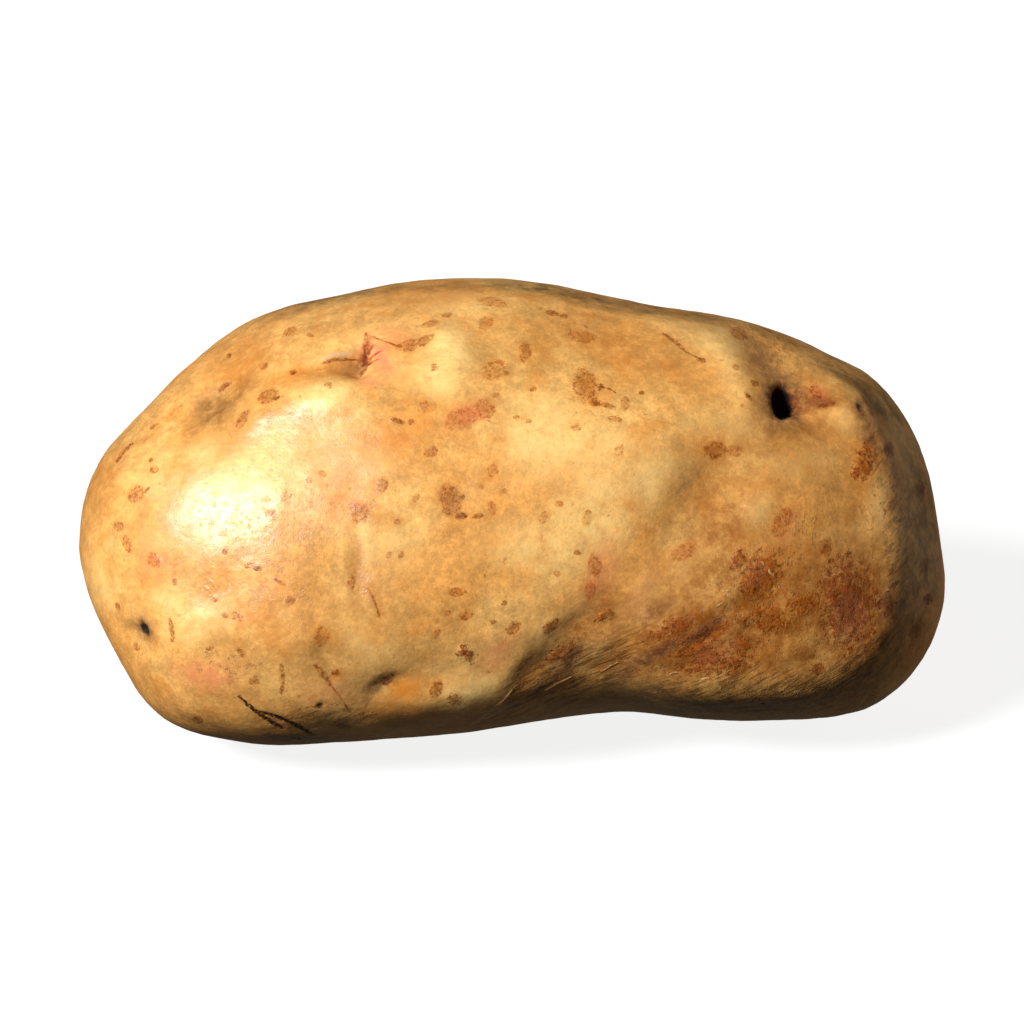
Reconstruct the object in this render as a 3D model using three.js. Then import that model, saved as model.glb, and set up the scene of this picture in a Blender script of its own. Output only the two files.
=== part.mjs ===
// A washed yellow potato: one solid tuber, resting on the two flats worn on its underside.
// Millimetres, +Z up. X runs along the tuber and -Y is its front, with the two deepest eyes.
// Its outline and relief are laid out in a picture plane seen from the front and a little above:
// x to the right, v upwards, and the depth going away. lieDown() then turns that onto the ground.
import * as THREE from 'three';
import { mergeVertices } from 'three/addons/utils/BufferGeometryUtils.js';

// Driving dimensions
const halfLength = 55;
const halfHeight = 28;
const halfDepth = 29;
const seenFrom = THREE.MathUtils.degToRad(22);  // how far above the ground the outline is seen from
const yaw = 0.13;           // the right end lies further back, by this much of x
const lean = 0.08;           // the upper edge lies further back, by this much of v
const backSquareness = 2.15; // exponent of the section from the outline to the back: 2 is an ellipse
const frontSquareness = 2.3; // and to the front
const squareSwing = 0.25;    // how much squarer the front is towards squarest, and rounder opposite
const squarest = THREE.MathUtils.degToRad(-35);
const flatDepth = 1.1;       // how much of each low swelling is pressed flat
const facetRows = 20;        // facets along each edge of the starting icosahedron

// The outline in the picture plane, clockwise from the left tip, as [x, v]
const outline = [
  [-54.8, -3.2], [-52.3, 6.2], [-47.4, 12.2], [-42.6, 17.2], [-33.2, 24.3], [-22, 27.6],
  [-10.6, 29.6], [1.5, 29.3], [13, 27.3], [29, 24.4], [38, 21.3], [45.4, 17.2],
  [51.5, 9.2], [53.9, -1.5], [54.7, -11.8], [50.2, -20.8], [43.4, -25.4], [31, -26.5],
  [21.8, -26.2], [14.6, -25.3], [-5.6, -27.5], [-21, -28.8], [-33, -29], [-44.2, -25.5],
  [-51.8, -14.4],
];

const front = -1;
const back = 1;

// Broad swellings and hollows: where, how long and wide they are, turned how far, and their rise
const swellings = [
  { name: 'right lobe', x: 36, v: -1, side: front, long: 14, wide: 11, turn: 0, rise: 0.9 },
  { name: 'dip above the waist', x: 22.5, v: 2, side: front, long: 5, wide: 3.4, turn: 45, rise: -0.65 },
  { name: 'belly', x: 12, v: 4, side: front, long: 12, wide: 8, turn: 50, rise: 1.1 },
  { name: 'cheek under long eye', x: -23.5, v: 14, side: front, long: 6.5, wide: 3.8, turn: 8, rise: 1.1 },
  { name: 'knob beside the long eye', x: -8, v: 19, side: front, long: 4.5, wide: 4.5, turn: 0, rise: 0.6 },
  { name: 'oval dent', x: -37.5, v: 14, side: front, long: 5.5, wide: 3, turn: 40, rise: -0.8 },
  { name: 'dip under the crest', x: 13.5, v: 17, side: front, long: 6, wide: 5, turn: -20, rise: -0.8 },
  { name: 'hollow above deep eye', x: 33, v: 19.5, side: front, long: 7, wide: 4.5, turn: 80, rise: -0.9 },
  { name: 'knob by the deep eye', x: 41.5, v: 11.5, side: front, long: 5, wide: 4, turn: -30, rise: 0.8 },
  { name: 'groove by the deep eye', x: 38.4, v: 14, side: front, long: 3.6, wide: 1.6, turn: 0, rise: -0.5 },
  { name: 'worn streak', x: -20, v: -10, side: front, long: 7, wide: 3, turn: 85, rise: -0.4 },
  { name: 'left heel', x: -40, v: -15, side: front, long: 6, wide: 5, turn: 20, rise: 0.6 },
  { name: 'low dent', x: -22.5, v: -20, side: front, long: 4.5, wide: 3.5, turn: -30, rise: -0.6 },
  { name: 'low furrow', x: -15, v: -21, side: front, long: 6, wide: 3, turn: 20, rise: -0.6 },
  { name: 'left shoulder', x: -30, v: 6, side: back, long: 16, wide: 11, turn: 10, rise: 1.4 },
  { name: 'hollow above the shoulder', x: -14, v: 17, side: back, long: 9, wide: 6, turn: -30, rise: -1.1 },
  { name: 'back hollow', x: 6, v: 4, side: back, long: 12, wide: 9, turn: 70, rise: -1.3 },
  { name: 'back haunch', x: 30, v: -4, side: back, long: 13, wide: 11, turn: 0, rise: 1 },
  { name: 'back low dent', x: -30, v: -15, side: back, long: 9, wide: 5, turn: -15, rise: -0.9 },
];

// Ridges and furrows along a line of points [x, v]
const runs = [
  { name: 'waist', side: front, wide: 5, rise: -0.65,
    points: [[25, 6], [19, -4], [12, -13.5], [7, -19], [4, -23]] },
  { name: 'foot of the waist', side: front, wide: 7, rise: -0.6, points: [[12, -14], [14, -24]] },
  { name: 'edge of the right lobe', side: front, wide: 3.4, rise: 1.25,
    points: [[42.2, 13], [45, 3], [46.2, -6], [44.8, -14], [40.5, -19], [33, -21.5], [24, -21.5]] },
  { name: 'side of the right lobe', side: front, wide: 3.2, rise: -0.7,
    points: [[48, 11], [50.6, 3], [51.6, -6], [50, -14]] },
  { name: 'brow of the deep eye', side: front, wide: 3.6, rise: 0.55,
    points: [[17, 23], [24.5, 20.5], [28.7, 16], [29.5, 12.5]] },
  { name: 'back furrow', side: back, wide: 6, rise: -1.4, points: [[-4, 22], [2, 12], [4, 0]] },
];

// Eyes: a pit in a wider funnel, under a bent brow that lies from the pit in the direction turn
const funnelReach = 2.4;     // radius of the funnel, in pit radii
const funnelShare = 0.25;    // its depth, as a share of the pit's
const browDistance = 1.5;    // how far the brow lies from the pit's centre, in pit radii
const browWidth = 0.8;
const browLength = 2.4;
const browBend = 6;          // radius the brow is bent to, in pit radii
const browEnd = 6;           // and where it has died out
const eyes = [
  { name: 'long eye', x: -19.5, v: 18.3, side: front, radius: 2.2, depth: 1.8, turn: 100, brow: 0.3 },
  { name: 'deep eye', x: 34.3, v: 13.8, side: front, radius: 1.5, depth: 3, turn: 190, brow: 0.2 },
  { name: 'end eye', x: 45, v: 13.4, side: front, radius: 1.6, depth: 0.9, turn: 100, brow: 0.3 },
  { name: 'heel eye', x: -47, v: -15, side: front, radius: 1.4, depth: 0.8, turn: 90, brow: 0.2 },
  { name: 'nose eye', x: 50.5, v: -7, side: back, radius: 2, depth: 1.6, turn: 0, brow: 0.6 },
  { name: 'crown eye', x: 41, v: 4, side: back, radius: 2.2, depth: 1.8, turn: 20, brow: 0.8 },
  { name: 'back eye', x: 14, v: 14, side: back, radius: 2.4, depth: 1.9, turn: 60, brow: 0.8 },
  { name: 'low back eye', x: 22, v: -5, side: back, radius: 2.2, depth: 1.6, turn: 20, brow: 0.7 },
  { name: 'far back eye', x: -14, v: -6, side: back, radius: 2.4, depth: 1.8, turn: 40, brow: 0.8 },
  { name: 'left back eye', x: -38, v: 6, side: back, radius: 2, depth: 1.4, turn: 30, brow: 0.6 },
];

// The crease that runs left out of the long eye
const crease = {
  side: front, wide: 1.5, rise: -0.9,
  points: [[-29, 16.5], [-25.5, 18], [-22, 18.9], [-19.5, 18.3]],
};

// The stolon scar: a small dry cup with a raised rim at the left end, on the back
const scar = { x: -52.5, v: 0, side: back, radius: 2.6, depth: 1.3, rim: 0.5 };
const rimDistance = 1.7;     // radius of the rim's crest, in cup radii
const rimWidth = 0.7;

// How the points of the starting ball are shared out
const evenness = 0.14;       // how far they are drawn from the ends towards the middle
const gathering = 0.5;       // how far they are drawn in towards each eye
const gatheringReach = 0.17;
const outlineSteps = 720;
const runSteps = 30;

// How the outline departs from a plain ellipse, by direction round its centre
const outlineCurve = new THREE.CatmullRomCurve3(
  outline.map(([x, v]) => new THREE.Vector3(x, 0, v)), true, 'centripetal');
const outlineSamples = outlineCurve.getPoints(outlineSteps)
  .map((p) => ({
    bearing: Math.atan2(p.z / halfHeight, p.x / halfLength),
    ratio: Math.hypot(p.x / halfLength, p.z / halfHeight),
  }))
  .sort((a, b) => a.bearing - b.bearing);

function outlineRatio(bearing) {
  let low = 0;
  let high = outlineSamples.length - 1;
  if (bearing <= outlineSamples[low].bearing || bearing >= outlineSamples[high].bearing) {
    return outlineSamples[low].ratio;
  }
  while (high - low > 1) {
    const middle = Math.floor((low + high) / 2);
    if (outlineSamples[middle].bearing <= bearing) {
      low = middle;
    } else {
      high = middle;
    }
  }
  const a = outlineSamples[low];
  const b = outlineSamples[high];
  return THREE.MathUtils.mapLinear(bearing, a.bearing, b.bearing, a.ratio, b.ratio);
}

// How deep the section is at a point of the unit sphere, from -1 at the front to 1 at the back
function fullness(s) {
  const bearing = Math.atan2(s.z, s.x);
  const frontExponent = frontSquareness + squareSwing * Math.cos(bearing - squarest);
  const exponent = s.y < 0 ? frontExponent : backSquareness;
  const outwards = Math.max(0, 1 - s.y * s.y);
  return Math.sign(s.y) * (1 - outwards ** (exponent / 2)) ** (1 / exponent);
}

// A point of the smooth tuber for a point of the unit sphere
function smoothPoint(s) {
  const ratio = outlineRatio(Math.atan2(s.z, s.x));
  const x = halfLength * ratio * s.x;
  const v = halfHeight * ratio * s.z;
  return new THREE.Vector3(x, halfDepth * fullness(s) + yaw * x + lean * v, v);
}

// The outward direction there, near enough for relief
function outward(s) {
  return new THREE.Vector3(s.x / halfLength, s.y / halfDepth, s.z / halfHeight).normalize();
}

// The point of the unit sphere that lies at x, v in the picture plane, on the front or the back
function sphereAt(x, v, side) {
  const ratio = outlineRatio(Math.atan2(v / halfHeight, x / halfLength));
  const sx = x / (halfLength * ratio);
  const sz = v / (halfHeight * ratio);
  return new THREE.Vector3(sx, side * Math.sqrt(Math.max(0, 1 - sx * sx - sz * sz)), sz).normalize();
}

// A place on the tuber with its two directions along the surface
function placeAt({ x, v, side, turn = 0 }) {
  const s = sphereAt(x, v, side);
  const up = outward(s);
  const right = new THREE.Vector3(1, 0, 0).addScaledVector(up, -up.x).normalize();
  const above = new THREE.Vector3().crossVectors(right, up).multiplyScalar(up.y > 0 ? -1 : 1);
  if (above.z < 0) above.negate();
  const angle = THREE.MathUtils.degToRad(turn);
  const along = right.clone().multiplyScalar(Math.cos(angle)).addScaledVector(above, Math.sin(angle));
  const across = above.clone().multiplyScalar(Math.cos(angle)).addScaledVector(right, -Math.sin(angle));
  return { s, at: smoothPoint(s), up, along, across };
}

const bell = (t) => Math.exp(-t * t);

function swellingRelief(swelling) {
  const place = placeAt(swelling);
  return (p) => {
    const offset = p.clone().sub(place.at);
    const t = Math.hypot(offset.dot(place.along) / swelling.long,
      offset.dot(place.across) / swelling.wide, offset.dot(place.up) / swelling.long);
    return swelling.rise * bell(t);
  };
}

function runRelief(run) {
  const nodes = run.points.map(([x, v]) => placeAt({ x, v, side: run.side }).at);
  const line = new THREE.CatmullRomCurve3(nodes, false, 'centripetal').getPoints(runSteps);
  return (p) => {
    const nearest = Math.min(...line.map((q) => q.distanceTo(p)));
    return run.rise * bell(nearest / run.wide);
  };
}

function eyeRelief(eye) {
  const place = placeAt(eye);
  return (p) => {
    const offset = p.clone().sub(place.at).divideScalar(eye.radius);
    const distance = offset.length();
    const pit = -eye.depth * bell(distance);
    const funnel = -funnelShare * eye.depth * bell(distance / funnelReach);
    const sideways = offset.dot(place.across);
    const fromBrow = offset.dot(place.along) - browDistance + sideways * sideways / browBend;
    const brow = eye.brow * bell(fromBrow / browWidth) * bell(sideways / browLength);
    return pit + funnel + (distance < browEnd ? brow : 0);
  };
}

function scarRelief() {
  const place = placeAt(scar);
  return (p) => {
    const distance = p.distanceTo(place.at) / scar.radius;
    return scar.rim * bell((distance - rimDistance) / rimWidth) - scar.depth * bell(distance);
  };
}

const relief = [
  ...swellings.map(swellingRelief),
  ...runs.map(runRelief),
  ...eyes.map(eyeRelief),
  runRelief(crease),
  scarRelief(),
];

// Spreads the ball's points evenly along the tuber, and draws them in around each eye
const eyeCentres = eyes.map((eye) => placeAt(eye).s);

function spread(s) {
  const angle = Math.acos(THREE.MathUtils.clamp(s.x, -1, 1));
  const spreadAngle = angle + evenness * Math.sin(2 * angle);
  const girth = Math.sin(angle) > 0 ? Math.sin(spreadAngle) / Math.sin(angle) : 1;
  const moved = new THREE.Vector3(Math.cos(spreadAngle), s.y * girth, s.z * girth);
  for (const centre of eyeCentres) {
    const pull = gathering * bell(moved.distanceTo(centre) / gatheringReach);
    moved.lerp(centre, pull).normalize();
  }
  return moved;
}

// Turns a point of the picture plane's frame onto the ground
function lieDown(p) {
  const y = p.y * Math.cos(seenFrom) + p.z * Math.sin(seenFrom);
  const z = p.z * Math.cos(seenFrom) - p.y * Math.sin(seenFrom);
  return new THREE.Vector3(p.x, y, z);
}

function tuberGeometry() {
  const ball = new THREE.IcosahedronGeometry(1, facetRows - 1);
  ball.deleteAttribute('normal');
  ball.deleteAttribute('uv');
  const geometry = mergeVertices(ball);
  const position = geometry.getAttribute('position');
  const vertex = new THREE.Vector3();
  for (let i = 0; i < position.count; i++) {
    const s = spread(vertex.fromBufferAttribute(position, i));
    const p = smoothPoint(s);
    const rise = relief.reduce((sum, form) => sum + form(p), 0);
    const lying = lieDown(p.addScaledVector(outward(s), rise));
    position.setXYZ(i, lying.x, lying.y, lying.z);
  }
  geometry.computeBoundingBox();
  const ground = geometry.boundingBox.min.z + flatDepth;
  for (let i = 0; i < position.count; i++) {
    position.setZ(i, Math.max(0, position.getZ(i) - ground));
  }
  geometry.computeBoundingBox();
  const centre = geometry.boundingBox.getCenter(new THREE.Vector3());
  geometry.translate(-centre.x, -centre.y, 0);
  geometry.computeVertexNormals();
  return geometry;
}

function potatoSkin() {
  return new THREE.MeshStandardMaterial({ color: 0xd9ad66, roughness: 0.55, metalness: 0 });
}

const potato = new THREE.Mesh(tuberGeometry(), potatoSkin());
potato.name = 'potato';

const part = new THREE.Group();
part.add(potato);

export default part;
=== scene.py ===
import math

import bpy
import numpy as np
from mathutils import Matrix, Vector


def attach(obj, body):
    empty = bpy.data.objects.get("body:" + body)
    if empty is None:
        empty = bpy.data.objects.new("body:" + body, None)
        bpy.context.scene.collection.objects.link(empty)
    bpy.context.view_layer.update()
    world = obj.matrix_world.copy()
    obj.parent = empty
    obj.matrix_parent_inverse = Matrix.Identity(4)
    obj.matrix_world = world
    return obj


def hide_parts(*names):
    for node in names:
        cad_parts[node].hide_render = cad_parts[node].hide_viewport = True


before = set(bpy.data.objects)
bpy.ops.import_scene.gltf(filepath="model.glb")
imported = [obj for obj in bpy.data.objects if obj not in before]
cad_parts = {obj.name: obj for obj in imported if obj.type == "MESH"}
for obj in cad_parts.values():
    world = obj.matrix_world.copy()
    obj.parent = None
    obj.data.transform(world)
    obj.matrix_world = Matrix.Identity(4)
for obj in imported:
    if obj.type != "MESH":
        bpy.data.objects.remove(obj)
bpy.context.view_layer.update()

mm = 0.001
print("Potato: frame loaded")


# Camera
shot = {
    "aim": Vector((-0.71, -0.31, 27.52)) * mm,
    "elevation": math.radians(22),
    "distance": 487 * mm,
    "lens": 135.17,
    "sensor": 36.0,
    "pixels": 1024,
    "clip": 0.01,
}
shotRight = Vector((1, 0, 0))
shotForward = Vector((0, math.cos(shot["elevation"]), -math.sin(shot["elevation"])))
shotUp = shotRight.cross(shotForward)


def setCamera():
    bpy.ops.object.camera_add(
        location=shot["aim"] - shotForward * shot["distance"],
        rotation=(math.radians(90) - shot["elevation"], 0, 0))
    camera = bpy.context.object
    camera.name = "camera"
    camera.data.lens = shot["lens"]
    camera.data.sensor_width = shot["sensor"]
    camera.data.clip_start = shot["clip"]
    bpy.context.scene.camera = camera
    print("Camera: set")


# Floor, world and lights
studio = {
    "floorSize": 8.0,
    "floorColour": (0.24, 0.24, 0.24, 1),
    "floorRoughness": 0.9,
    "floorGlow": 0.86,               # keeps the floor's shadow faint
    "worldSeen": 1.0,
    "worldLight": 0.06,
    "worldTint": (1.0, 0.90, 0.74, 1),
    "keyFrom": (-0.60, 0.34, 0.72),  # right, up and towards the camera, as for all three suns
    "keyPower": 5.1,
    "keySoft": math.radians(16),
    "backFrom": (-0.40, 0.50, -0.77),
    "backPower": 0.35,
    "backSoft": math.radians(50),
    "sideFrom": (0.80, 0.16, -0.58),
    "sidePower": 2.1,
    "sideSoft": math.radians(40),
}


def addSun(name, fromWhere, power, softness):
    right, up, near = fromWhere
    away = (shotRight * right + shotUp * up - shotForward * near).normalized()
    bpy.ops.object.light_add(type="SUN", location=away)
    lamp = bpy.context.object
    lamp.name = name
    lamp.rotation_euler = away.to_track_quat("Z", "Y").to_euler()
    lamp.data.energy = power
    lamp.data.angle = softness
    return lamp


def setStudio():
    bpy.ops.mesh.primitive_plane_add(size=studio["floorSize"])
    floor = bpy.context.object
    floor.name = "floor"
    material = bpy.data.materials.new("floorPaper")
    material.use_nodes = True
    paper = material.node_tree.nodes["Principled BSDF"]
    paper.inputs["Base Color"].default_value = studio["floorColour"]
    paper.inputs["Roughness"].default_value = studio["floorRoughness"]
    paper.inputs["Specular IOR Level"].default_value = 0.0
    paper.inputs["Emission Color"].default_value = (1, 1, 1, 1)
    paper.inputs["Emission Strength"].default_value = studio["floorGlow"]
    floor.data.materials.append(material)
    floor.visible_diffuse = False  # the underside stays as dark as in the photograph
    floor.visible_glossy = False

    world = bpy.data.worlds.new("studio")
    bpy.context.scene.world = world
    world.use_nodes = True
    nodes = world.node_tree.nodes
    links = world.node_tree.links
    nodes.clear()
    seen = nodes.new("ShaderNodeBackground")
    seen.inputs["Strength"].default_value = studio["worldSeen"]
    light = nodes.new("ShaderNodeBackground")
    light.inputs["Color"].default_value = studio["worldTint"]
    light.inputs["Strength"].default_value = studio["worldLight"]
    path = nodes.new("ShaderNodeLightPath")
    mix = nodes.new("ShaderNodeMixShader")
    output = nodes.new("ShaderNodeOutputWorld")
    links.new(path.outputs["Is Camera Ray"], mix.inputs[0])
    links.new(light.outputs[0], mix.inputs[1])
    links.new(seen.outputs[0], mix.inputs[2])
    links.new(mix.outputs[0], output.inputs["Surface"])

    addSun("keySun", studio["keyFrom"], studio["keyPower"], studio["keySoft"])
    for name in ("back", "side"):
        fill = addSun(name + "Sun", studio[name + "From"], studio[name + "Power"], studio[name + "Soft"])
        fill.visible_glossy = False
    bpy.context.scene.view_settings.view_transform = "Standard"
    bpy.context.scene.view_settings.look = "None"
    print("Studio: floor, world and lights set")


# Marks on the skin. Each starts with its place in the photograph, in pixels, then half
# its length and half its width in millimetres, and how far it leans up from the right in degrees.
# After that come the values that marksOf names.
def marksOf(extra, rows):
    names = ["at", "long", "wide", "turn"] + extra.split()
    return [dict(zip(names, row)) for row in rows]


# Brown scabs: tone 0 is pale and 1 is dark
scabs = marksOf("tone", [
    ((293, 372), 0.4, 0.3, 20, 1.0), ((585, 385), 1.9, 1.3, 95, 0.55),
    ((595, 402), 0.7, 0.5, -10, 1.0), ((608, 406), 0.9, 0.3, -15, 0.6),
    ((600, 387), 0.5, 0.4, 0, 0.9), ((450, 500), 1.8, 1.2, 100, 0.55),
    ((461, 516), 0.7, 0.45, 0, 1.0), ((462, 497), 0.35, 0.35, 0, 1.0),
    ((477, 516), 0.7, 0.3, 5, 0.5), ((492, 508), 0.8, 0.5, 100, 0.4),
    ((462, 419), 1.9, 1.3, 25, 0.1), ((485, 409), 1.3, 1.1, 40, 0.35),
    ((427, 407), 1.1, 0.7, 10, 0.15), ((398, 421), 0.8, 0.3, -15, 0.8),
    ((411, 422), 0.4, 0.3, 30, 0.7), ((408, 346), 1.3, 0.7, 15, 0.5),
    ((425, 341), 1.2, 0.5, 30, 0.5), ((431, 324), 1.0, 0.4, 10, 0.4),
    ((447, 315), 0.6, 0.3, 10, 0.5), ((486, 323), 0.9, 0.7, 30, 0.35),
    ((525, 352), 1.1, 0.7, 80, 0.5), ((495, 370), 1.4, 1.1, 30, 0.3),
    ((506, 373), 0.4, 0.3, 0, 0.6), ((435, 368), 0.5, 0.45, 0, 0.6),
    ((516, 417), 0.35, 0.3, 0, 0.5), ((529, 421), 0.35, 0.25, 20, 0.5),
    ((496, 395), 0.4, 0.3, 20, 0.4), ((533, 389), 0.4, 0.35, 0, 0.6),
    ((576, 427), 0.6, 0.5, 0, 0.35), ((615, 419), 0.9, 0.3, -15, 0.5),
    ((625, 404), 0.8, 0.5, 80, 0.35), ((642, 393), 0.35, 0.25, 0, 1.0),
    ((493, 302), 1.8, 0.5, -8, 0.4), ((552, 313), 0.8, 0.3, -15, 0.8),
    ((564, 316), 0.4, 0.3, -10, 0.6), ((581, 336), 1.8, 0.7, -10, 0.3),
    ((359, 512), 1.3, 1.1, 60, 0.4), ((382, 485), 0.9, 0.65, 80, 0.3),
    ((431, 452), 0.8, 0.6, 30, 0.35), ((416, 498), 0.5, 0.35, 60, 0.3),
    ((493, 470), 0.8, 0.6, 70, 0.1), ((481, 486), 0.45, 0.3, -60, 0.4),
    ((504, 491), 0.35, 0.3, 0, 0.4), ((559, 504), 0.5, 0.35, 0, 0.2),
    ((545, 517), 0.8, 0.6, 40, 0.2), ((588, 518), 0.9, 0.6, 70, 0.3),
    ((619, 450), 0.7, 0.5, 70, 0.1), ((268, 397), 1.2, 0.8, 30, 0.5),
    ((276, 399), 0.5, 0.25, 30, 1.0), ((243, 419), 1.4, 0.5, 60, 0.4),
    ((290, 331), 0.8, 0.45, 25, 0.6), ((310, 335), 0.5, 0.25, -30, 0.5),
    ((228, 354), 0.3, 0.25, 60, 0.9), ((264, 366), 0.5, 0.3, 40, 0.4),
    ((154, 426), 0.6, 0.25, 30, 0.6), ((151, 460), 0.3, 0.25, 60, 0.9),
    ((154, 470), 0.5, 0.4, 20, 0.5), ((136, 494), 1.0, 0.9, 60, 0.5),
    ((147, 490), 0.45, 0.25, 50, 1.0), ((322, 474), 0.5, 0.4, 0, 0.4),
    ((308, 480), 0.45, 0.4, 0, 0.3), ((286, 496), 0.7, 0.5, 30, 0.2),
    ((329, 386), 0.5, 0.4, 0, 0.4), ((271, 515), 0.8, 0.6, 80, 0.3),
    ((119, 526), 0.6, 0.5, 0, 0.4), ((127, 544), 1.1, 0.5, -70, 0.5),
    ((154, 560), 0.9, 0.7, -60, 0.4), ((175, 582), 0.5, 0.3, -70, 0.7),
    ((225, 552), 0.35, 0.35, 0, 1.0), ((258, 568), 0.5, 0.35, 0, 1.0),
    ((249, 565), 0.6, 0.35, 20, 0.5), ((280, 582), 0.8, 0.25, -30, 0.6),
    ((290, 600), 0.6, 0.55, 0, 0.8), ((136, 647), 0.5, 0.3, -60, 0.6),
    ((118, 607), 0.5, 0.25, -70, 0.7), ((215, 599), 0.45, 0.35, 0, 0.4),
    ((238, 617), 0.8, 0.5, -30, 0.5), ((225, 615), 0.5, 0.3, -20, 0.4),
    ((210, 648), 0.45, 0.3, 20, 0.6), ((241, 653), 0.6, 0.4, -50, 0.6),
    ((254, 681), 0.6, 0.4, -10, 0.4), ((322, 637), 1.1, 0.9, 80, 0.5),
    ((351, 583), 0.8, 0.5, 80, 0.5), ((397, 522), 0.4, 0.35, 0, 0.5),
    ((389, 555), 0.4, 0.3, 60, 0.4), ((401, 555), 0.4, 0.3, 60, 0.4),
    ((457, 592), 1.1, 0.5, 0, 0.6), ((466, 615), 0.8, 0.6, 30, 0.6),
    ((446, 613), 0.6, 0.4, 0, 0.4), ((504, 603), 0.35, 0.3, 0, 0.7),
    ((493, 622), 0.35, 0.3, 0, 0.7), ((513, 628), 0.9, 0.6, 40, 0.6),
    ((577, 552), 0.4, 0.35, 0, 0.5), ((557, 574), 0.4, 0.35, 0, 0.3),
    ((505, 561), 0.5, 0.2, 80, 0.3), ((436, 634), 0.7, 0.4, 50, 0.2),
    ((551, 626), 1.1, 0.6, 40, 0.9), ((436, 686), 0.9, 0.6, 50, 0.8),
    ((454, 694), 0.9, 0.6, 0, 0.8), ((388, 680), 0.9, 0.5, 40, 0.9),
    ((715, 450), 1.4, 1.0, 20, 0.6), ((735, 451), 1.0, 0.6, 0, 0.15),
    ((701, 360), 0.6, 0.3, -10, 0.7), ((735, 369), 0.4, 0.35, 0, 0.4),
    ((748, 397), 0.6, 0.25, -45, 1.0), ((755, 383), 0.5, 0.35, -30, 0.8),
    ((816, 392), 0.9, 0.6, -60, 0.4), ((827, 405), 1.0, 0.3, 10, 0.5),
    ((825, 548), 1.0, 0.7, 100, 0.6), ((683, 552), 1.5, 0.8, 20, 0.25),
    ((782, 522), 1.7, 1.0, 70, 0.3), ((595, 566), 1.4, 0.8, 100, 0.3),
    ((590, 590), 1.2, 0.6, 80, 0.2), ((336, 673), 0.5, 0.4, 0, 0.8),
    ((817, 669), 0.8, 0.6, 30, 0.9), ((812, 656), 0.35, 0.3, 0, 0.8),
    ((889, 450), 0.9, 0.6, 100, 0.9), ((921, 487), 0.8, 0.5, 100, 0.8),
    ((928, 599), 0.6, 0.5, 90, 1.0), ((924, 565), 0.9, 0.5, 80, 0.6),
    ((914, 632), 0.9, 0.6, 60, 0.5), ((878, 604), 0.6, 0.35, 100, 1.0),
    ((889, 609), 1.1, 0.45, 70, 1.0), ((739, 333), 1.0, 0.6, -20, 0.5),
    ((198, 720), 0.6, 0.4, -15, 0.6),
])

# Rough red-brown patches: tone 0 is orange-brown and 1 is crimson
russets = marksOf("tone", [
    ((761, 577), 3.0, 2.1, 70, 0.15), ((770, 620), 2.8, 1.4, -5, 0.2),
    ((806, 604), 2.0, 1.2, 10, 0.05), ((848, 604), 5.2, 3.1, 95, 0.8),
    ((700, 640), 3.4, 1.5, 28, 0.5), ((716, 662), 4.0, 1.5, 5, 0.4),
    ((741, 646), 1.2, 1.0, 0, 0.2), ((672, 628), 2.6, 1.0, 24, 0.6),
    ((738, 560), 1.2, 0.8, 60, 0.3), ((863, 464), 2.3, 1.2, 75, 0.25),
    ((466, 654), 1.2, 0.9, -40, 0.7), ((561, 653), 1.8, 0.7, 35, 0.4),
    ((604, 617), 1.2, 0.6, 30, 0.5),
])
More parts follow.
